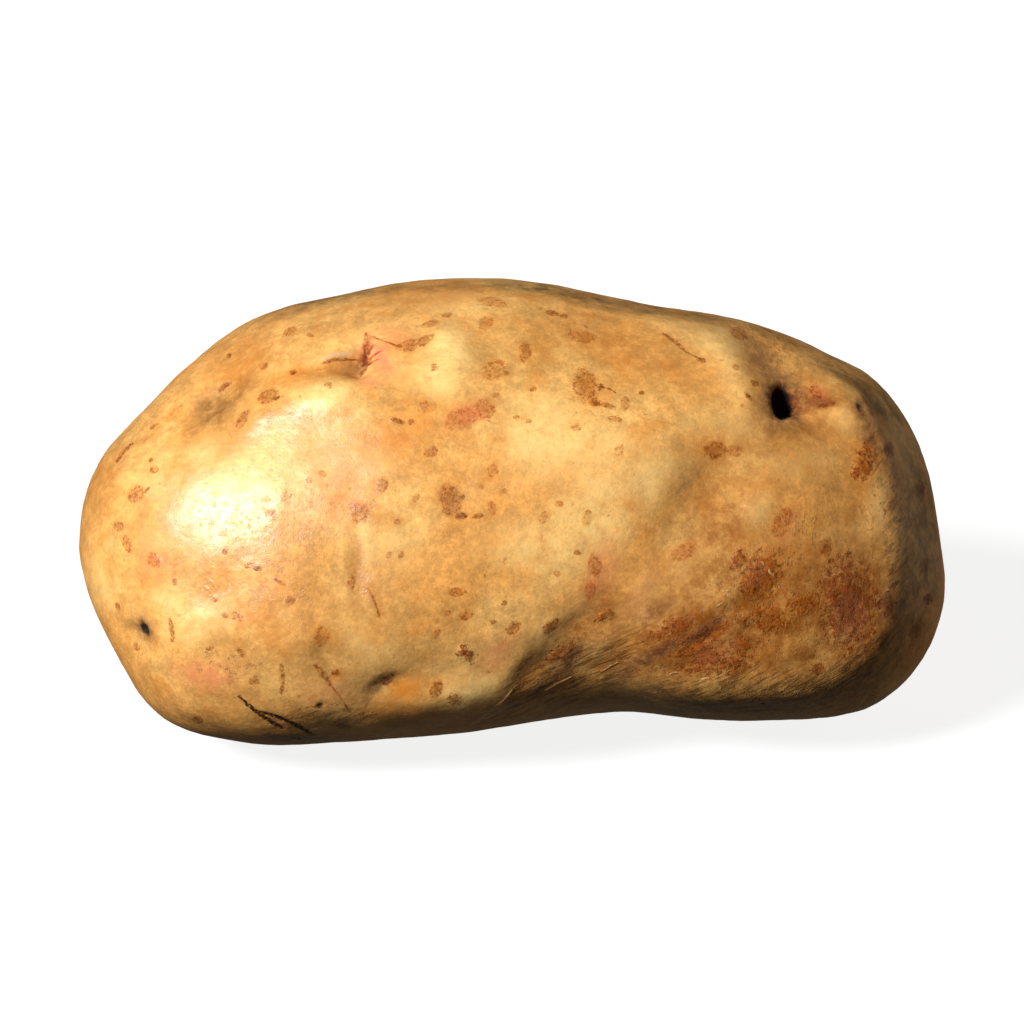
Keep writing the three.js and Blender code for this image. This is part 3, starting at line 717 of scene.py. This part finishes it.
# Patterns of noise: its values between low and high become least to most, or 0 to 1
patterns = {
    "broad": {"scale": 70.0, "rough": 0.6, "low": 0.38, "high": 0.62},
    "mottle": {"scale": 420.0, "rough": 0.75, "low": 0.32, "high": 0.68, "least": 0.78, "most": 1.14},
    "dapple": {"scale": 1900.0, "rough": 0.75, "low": 0.35, "high": 0.65, "least": 0.86, "most": 1.09},
    "warm": {"scale": 190.0, "rough": 0.65, "low": 0.50, "high": 0.70, "least": 0.0, "most": 0.5},
    "cloudy": {"scale": 480.0, "rough": 0.75, "low": 0.32, "high": 0.68, "least": 0.45, "most": 1.3},
    "flecks": {"scale": 1200.0, "rough": 0.8, "low": 0.52, "high": 0.66},
    "crumbs": {"scale": 1100.0, "rough": 0.75, "low": 0.36, "high": 0.58, "least": 0.30, "most": 1.0},
    "veins": {"scale": 1700.0, "detail": 3.0, "rough": 0.8, "low": 0.50, "high": 0.60},
    "grit": {"scale": 3300.0, "rough": 0.75, "low": 0.50, "high": 0.58},
    "worn": {"scale": 2200.0, "rough": 0.7, "low": 0.36, "high": 0.56, "least": 0.25, "most": 1.0},
    "dull": {"scale": 700.0, "rough": 0.55, "low": 0.35, "high": 0.65, "least": 0.30, "most": 0.37},
}
crowding = {"scale": 2300.0, "rough": 0.85, "rim": 0.07, "low": 0.47, "high": 0.62}
grain = {"scale": 1400.0, "rough": 0.62, "strength": 0.5, "deep": 0.00011}

# Torn patches: where in a mark's field they end, and how soft, ragged and coarse that edge is
tornEdges = {
    "brow": {"Edge": 0.45, "Soft": 0.25, "Ragged": 1.2, "Scale": 700.0},
    "crust": {"Edge": 0.36, "Soft": 0.34, "Ragged": 3.0, "Scale": 1300.0},
    "patch": {"Edge": 0.38, "Soft": 0.28, "Ragged": 2.8, "Scale": 1900.0},
    "zone": {"Edge": 0.30, "Soft": 0.20, "Ragged": 2.0, "Scale": 1500.0},
    "heart": {"Edge": 0.62, "Soft": 0.30, "Ragged": 2.4, "Scale": 2400.0},
    "line": {"Edge": 0.45, "Soft": 0.38, "Ragged": 1.6, "Scale": 1500.0},
    "pit": {"Edge": 0.48, "Soft": 0.38, "Ragged": 1.0, "Scale": 1500.0},
}

# Spots strewn over the whole skin, and scabs on the side that the photograph doesn't show
strewnSpots = {
    "large": {"Scale": 190.0, "Share": 0.34, "Size": 0.09, "Warp": 0.0016},
    "small": {"Scale": 480.0, "Share": 0.40, "Size": 0.16, "Warp": 0.0010},
    "farScabs": {"Scale": 105.0, "Share": 0.40, "Size": 0.14, "Warp": 0.0022},
}
strengths = {"large": 0.45, "small": 0.6, "farScabs": 0.75, "brow": 0.6, "strokes": 0.7, "veins": 0.8,
             "heart": 0.65, "highlightLilacLine": 0.5, "darkLine": 1.0, "blackLine": 1.6, "paleLine": 0.7}
# how strongly the stain marks and the painted light and shade are laid on
stainAndLightStrengths = {"pale": 0.85, "duskyShade": 0.85, "orange": 0.75, "blush": 1.0, "rust": 1.0,
                  "oliveShade": 0.9, "wine": 0.85, "umber": 0.9}  # laid on in this order
dullness = {"patch": 0.42, "dark": 0.95, "pit": 0.95, "stained": 0.95}
lifts = {"patch": -0.15, "scurf": -1.4, "crust": 0.9, "strokes": -0.8}  # parts of the grain's depth
glossLevel = 0.41
fibre = {"lean": math.radians(28), "size": (3.0 * mm, 1.8 * mm, 0.5 * mm), "low": 0.47, "high": 0.60}
colourA, colourB, colourOut = 6, 7, 2  # the Mix node's colour sockets


def putIn(tree, socket, value):
    if isinstance(value, bpy.types.NodeSocket):
        tree.links.new(value, socket)
    else:
        socket.default_value = value


def addNode(tree, kind, inputs=None, **settings):
    node = tree.nodes.new(kind)
    for name, value in settings.items():
        setattr(node, name, value)
    for socket, value in (inputs or {}).items():
        putIn(tree, node.inputs[socket], value)
    return node


def mixColour(tree, amount, under, over, blend="MIX"):
    node = addNode(tree, "ShaderNodeMix", data_type="RGBA", blend_type=blend)
    putIn(tree, node.inputs[0], amount)
    putIn(tree, node.inputs[colourA], under)
    putIn(tree, node.inputs[colourB], over)
    return node.outputs[colourOut]


def maths(tree, operation, a, b=0.0, clamp=False):
    node = addNode(tree, "ShaderNodeMath", {0: a, 1: b}, operation=operation, use_clamp=clamp)
    return node.outputs[0]


def times(tree, *values):
    product = values[0]
    for value in values[1:]:
        product = maths(tree, "MULTIPLY", product, value)
    return product


def softStep(tree, value, low, high, start=0.0, end=1.0):
    node = addNode(
        tree, "ShaderNodeMapRange",
        {"Value": value, "From Min": low, "From Max": high, "To Min": start, "To Max": end},
        interpolation_type="SMOOTHSTEP")
    return node.outputs["Result"]


def newGroup(name, inputs, outputs):
    group = bpy.data.node_groups.new(name, "ShaderNodeTree")
    for label, value in inputs.items():
        socket = group.interface.new_socket(label, in_out="INPUT", socket_type="NodeSocketFloat")
        socket.default_value = value
    for label in outputs:
        group.interface.new_socket(label, in_out="OUTPUT", socket_type="NodeSocketFloat")
    return group, group.nodes.new("NodeGroupInput"), group.nodes.new("NodeGroupOutput")


def makeRaggedMask():
    # A soft field turned into a patch with a torn edge
    group, given, result = newGroup(
        "raggedMask", {"Field": 0.0, "Edge": 0.33, "Soft": 0.05, "Ragged": 0.4, "Scale": 1500.0},
        ["Mask"])
    place = addNode(group, "ShaderNodeTexCoord").outputs["Object"]
    wobble = addNode(
        group, "ShaderNodeTexNoise",
        {"Vector": place, "Scale": given.outputs["Scale"], "Detail": 3.0, "Roughness": 0.65})
    shift = maths(group, "SUBTRACT", wobble.outputs["Fac"], 0.5)
    # away from the mark the field is nothing, and the noise may not light up there
    alive = softStep(group, given.outputs["Field"], 0.0, 0.2)
    shift = times(group, shift, given.outputs["Ragged"], alive)
    frayed = maths(group, "ADD", given.outputs["Field"], shift)
    low = maths(group, "SUBTRACT", given.outputs["Edge"], given.outputs["Soft"])
    high = maths(group, "ADD", given.outputs["Edge"], given.outputs["Soft"])
    group.links.new(softStep(group, frayed, low, high), result.inputs["Mask"])


def makeLenticels():
    # Small rough spots strewn over the skin, one at most in each cell
    group, given, result = newGroup(
        "lenticels", {"Scale": 200.0, "Share": 0.4, "Size": 0.12, "Warp": 0.0006}, ["Mask", "Shade"])
    place = addNode(group, "ShaderNodeTexCoord").outputs["Object"]
    wander = addNode(group, "ShaderNodeTexNoise", {"Vector": place, "Scale": 1300.0, "Detail": 3.0})
    centred = addNode(
        group, "ShaderNodeVectorMath", {0: wander.outputs["Color"], 1: (0.5, 0.5, 0.5)},
        operation="SUBTRACT")
    scaled = addNode(
        group, "ShaderNodeVectorMath",
        {0: centred.outputs["Vector"], "Scale": given.outputs["Warp"]}, operation="SCALE")
    moved = addNode(
        group, "ShaderNodeVectorMath", {0: place, 1: scaled.outputs["Vector"]}, operation="ADD")
    cells = addNode(
        group, "ShaderNodeTexVoronoi",
        {"Vector": moved.outputs["Vector"], "Scale": given.outputs["Scale"]})
    dice = addNode(group, "ShaderNodeSeparateColor", {0: cells.outputs["Color"]})
    present = maths(group, "LESS_THAN", dice.outputs["Red"], given.outputs["Share"])
    share = softStep(group, dice.outputs["Green"], 0.0, 1.0, 0.3, 1.0)
    radius = times(group, share, given.outputs["Size"])
    spot = softStep(group, cells.outputs["Distance"], radius, times(group, radius, 0.5))
    group.links.new(times(group, spot, present), result.inputs["Mask"])
    group.links.new(dice.outputs["Blue"], result.inputs["Shade"])


def field(tree, name):
    return addNode(tree, "ShaderNodeAttribute", attribute_name=name).outputs["Fac"]


def noise(tree, scale, detail, rough):
    place = tree.nodes["place"].outputs["Object"]
    node = addNode(
        tree, "ShaderNodeTexNoise",
        {"Vector": place, "Scale": scale, "Detail": detail, "Roughness": rough})
    return node.outputs["Fac"]


def pattern(tree, name):
    look = patterns[name]
    value = noise(tree, look["scale"], look.get("detail", 4.0), look["rough"])
    return softStep(
        tree, value, look["low"], look["high"], look.get("least", 0.0), look.get("most", 1.0))


def torn(tree, source, edge):
    node = addNode(
        tree, "ShaderNodeGroup", dict(tornEdges[edge], Field=source),
        node_tree=bpy.data.node_groups["raggedMask"])
    return node.outputs["Mask"]


def paintGround(tree):
    # straw and tan, mottled
    colour = mixColour(tree, pattern(tree, "broad"), skinColours["tan"], skinColours["straw"])
    mottle = times(tree, pattern(tree, "mottle"), pattern(tree, "dapple"))
    shade = addNode(tree, "ShaderNodeCombineColor", {0: mottle, 1: mottle, 2: mottle}).outputs[0]
    colour = mixColour(tree, 1.0, colour, shade, "MULTIPLY")
    return mixColour(tree, pattern(tree, "warm"), colour, skinColours["orange"])


def paintStainsAndLight(tree, colour):
    # soft stain marks and painted light and shade, broken up a little
    cloudy = pattern(tree, "cloudy")
    for name, most in stainAndLightStrengths.items():
        strength = maths(tree, "MULTIPLY", field(tree, name), times(tree, cloudy, most), clamp=True)
        colour = mixColour(tree, strength, colour, skinColours[name])
    return colour


def paintScurf(tree, colour):
    # brown flecks where the skin is rough, and a few anywhere
    much = softStep(tree, field(tree, "scurf"), 0.05, 0.9, 0.14, 0.75)
    scurf = times(tree, pattern(tree, "flecks"), much)
    return mixColour(tree, scurf, colour, skinColours["fleck"]), scurf


def paintFibres(tree, colour):
    # short strokes that climb to the right over the edges and into the waist
    slanted = addNode(
        tree, "ShaderNodeMapping",
        {"Vector": tree.nodes["place"].outputs["Object"], "Rotation": (0, -fibre["lean"], 0),
         "Scale": fibre["size"]}, vector_type="TEXTURE")
    strokes = addNode(
        tree, "ShaderNodeTexNoise",
        {"Vector": slanted.outputs[0], "Scale": 1.0, "Detail": 4.0, "Roughness": 0.65})
    strokes = softStep(tree, strokes.outputs["Fac"], fibre["low"], fibre["high"])
    strokes = times(tree, strokes, field(tree, "fibre"))
    amount = times(tree, strokes, strengths["strokes"])
    return mixColour(tree, amount, colour, skinColours["umber"]), strokes


def paintSpots(tree, colour):
    # lenticels of two sizes, and the scabs and eyes of the far side
    for name, look in strewnSpots.items():
        spots = addNode(
            tree, "ShaderNodeGroup", look, node_tree=bpy.data.node_groups["lenticels"])
        strength = strengths[name]
        if name == "farScabs":
            strength = times(tree, field(tree, "farSide"), strength)
        tint = mixColour(
            tree, spots.outputs["Shade"], skinColours["lenticel"], skinColours["fleck"])
        colour = mixColour(tree, times(tree, spots.outputs["Mask"], strength), colour, tint)
    brow = times(tree, torn(tree, field(tree, "backEye"), "brow"), strengths["brow"])
    return mixColour(tree, brow, colour, skinColours["russet"])


def paintRussets(tree, colour):
    crust = torn(tree, field(tree, "russet"), "crust")
    crumbs = times(tree, crust, pattern(tree, "crumbs"))
    tint = mixColour(
        tree, field(tree, "russetTone"), skinColours["russet"], skinColours["crimson"])
    colour = mixColour(tree, crumbs, colour, tint)
    veins = times(tree, crust, pattern(tree, "veins"), strengths["veins"])
    return mixColour(tree, veins, colour, skinColours["vein"]), crumbs


def paintScabs(tree, colour):
    # a torn tan patch under brown flecks, which crowd towards its rim
    tone = field(tree, "scabTone")
    mark = field(tree, "scab")
    patch = torn(tree, mark, "patch")
    tint = mixColour(tree, tone, skinColours["scabPale"], skinColours["scabDeep"])
    colour = mixColour(tree, patch, colour, tint, "MULTIPLY")
    rim = times(tree, softStep(tree, mark, 0.12, 0.30), softStep(tree, mark, 0.60, 0.38))
    crowd = noise(tree, crowding["scale"], 4.0, crowding["rough"])
    crowd = maths(tree, "ADD", crowd, times(tree, rim, crowding["rim"]))
    speckle = softStep(tree, crowd, crowding["low"], crowding["high"])
    speckle = times(tree, speckle, torn(tree, mark, "zone"))
    tint = mixColour(tree, tone, skinColours["fleckPale"], skinColours["fleckDeep"])
    colour = mixColour(tree, speckle, colour, tint, "MULTIPLY")
    dark = times(tree, speckle, pattern(tree, "grit"), softStep(tree, tone, 0.3, 0.9, 0.0, 0.6))
    heart = times(tree, torn(tree, mark, "heart"), tone, tone, strengths["heart"])
    dark = maths(tree, "MAXIMUM", dark, heart)
    return mixColour(tree, dark, colour, skinColours["scabHeart"]), patch, dark


def paintLines(tree, colour):
    # lines, among them painted glints and a painted highlight line, then the painted shade of the pits
    worn = pattern(tree, "worn")
    for name, blend in (
            ("highlightLilacLine", "MIX"), ("darkLine", "MULTIPLY"), ("blackLine", "MULTIPLY"),
            ("paleLine", "MIX")):
        line = torn(tree, field(tree, name), "line")
        amount = maths(tree, "MULTIPLY", line, times(tree, worn, strengths[name]), clamp=True)
        colour = mixColour(tree, amount, colour, skinColours[name], blend)
    pit = torn(tree, field(tree, "hole"), "pit")
    return mixColour(tree, pit, colour, skinColours["hole"]), pit


def paintSkin(skin):
    makeRaggedMask()
    makeLenticels()
    material = bpy.data.materials.new("potatoSkin")
    material.use_nodes = True
    tree = material.node_tree
    surface = tree.nodes["Principled BSDF"]
    addNode(tree, "ShaderNodeTexCoord", name="place")

    colour = paintStainsAndLight(tree, paintGround(tree))
    colour, scurf = paintScurf(tree, colour)
    colour, strokes = paintFibres(tree, colour)
    colour = paintSpots(tree, colour)
    colour, crust = paintRussets(tree, colour)
    colour, patch, dark = paintScabs(tree, colour)
    colour, pit = paintLines(tree, colour)
    tree.links.new(colour, surface.inputs["Base Color"])

    # gloss: the skin shines, and the marks, the dark stain marks and the painted shade of the pits and
    # creases don't
    stained = maths(tree, "MAXIMUM", field(tree, "umber"), field(tree, "wine"))
    masks = {"patch": patch, "dark": dark, "pit": pit, "stained": softStep(tree, stained, 0.0, 0.3)}
    dull = pattern(tree, "dull")
    for name, mask in masks.items():
        dull = maths(tree, "MAXIMUM", dull, times(tree, mask, dullness[name]))
    tree.links.new(dull, surface.inputs["Roughness"])
    surface.inputs["Specular IOR Level"].default_value = glossLevel

    # fine relief: grain, and what stands up or sinks in at the marks
    height = noise(tree, grain["scale"], 4.0, grain["rough"])
    masks = {"patch": patch, "scurf": scurf, "crust": crust, "strokes": strokes}
    for name, mask in masks.items():
        height = maths(tree, "ADD", height, times(tree, mask, lifts[name]))
    bump = addNode(
        tree, "ShaderNodeBump",
        {"Height": height, "Strength": grain["strength"], "Distance": grain["deep"]})
    tree.links.new(bump.outputs["Normal"], surface.inputs["Normal"])
    skin.data.materials.clear()
    skin.data.materials.append(material)
    print("Skin: painted")


setCamera()
setStudio()
potato = growSkin()
roughen(potato)
markSkin(potato)
bpy.ops.object.shade_smooth()
paintSkin(potato)
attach(potato, "root")
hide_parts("potato")
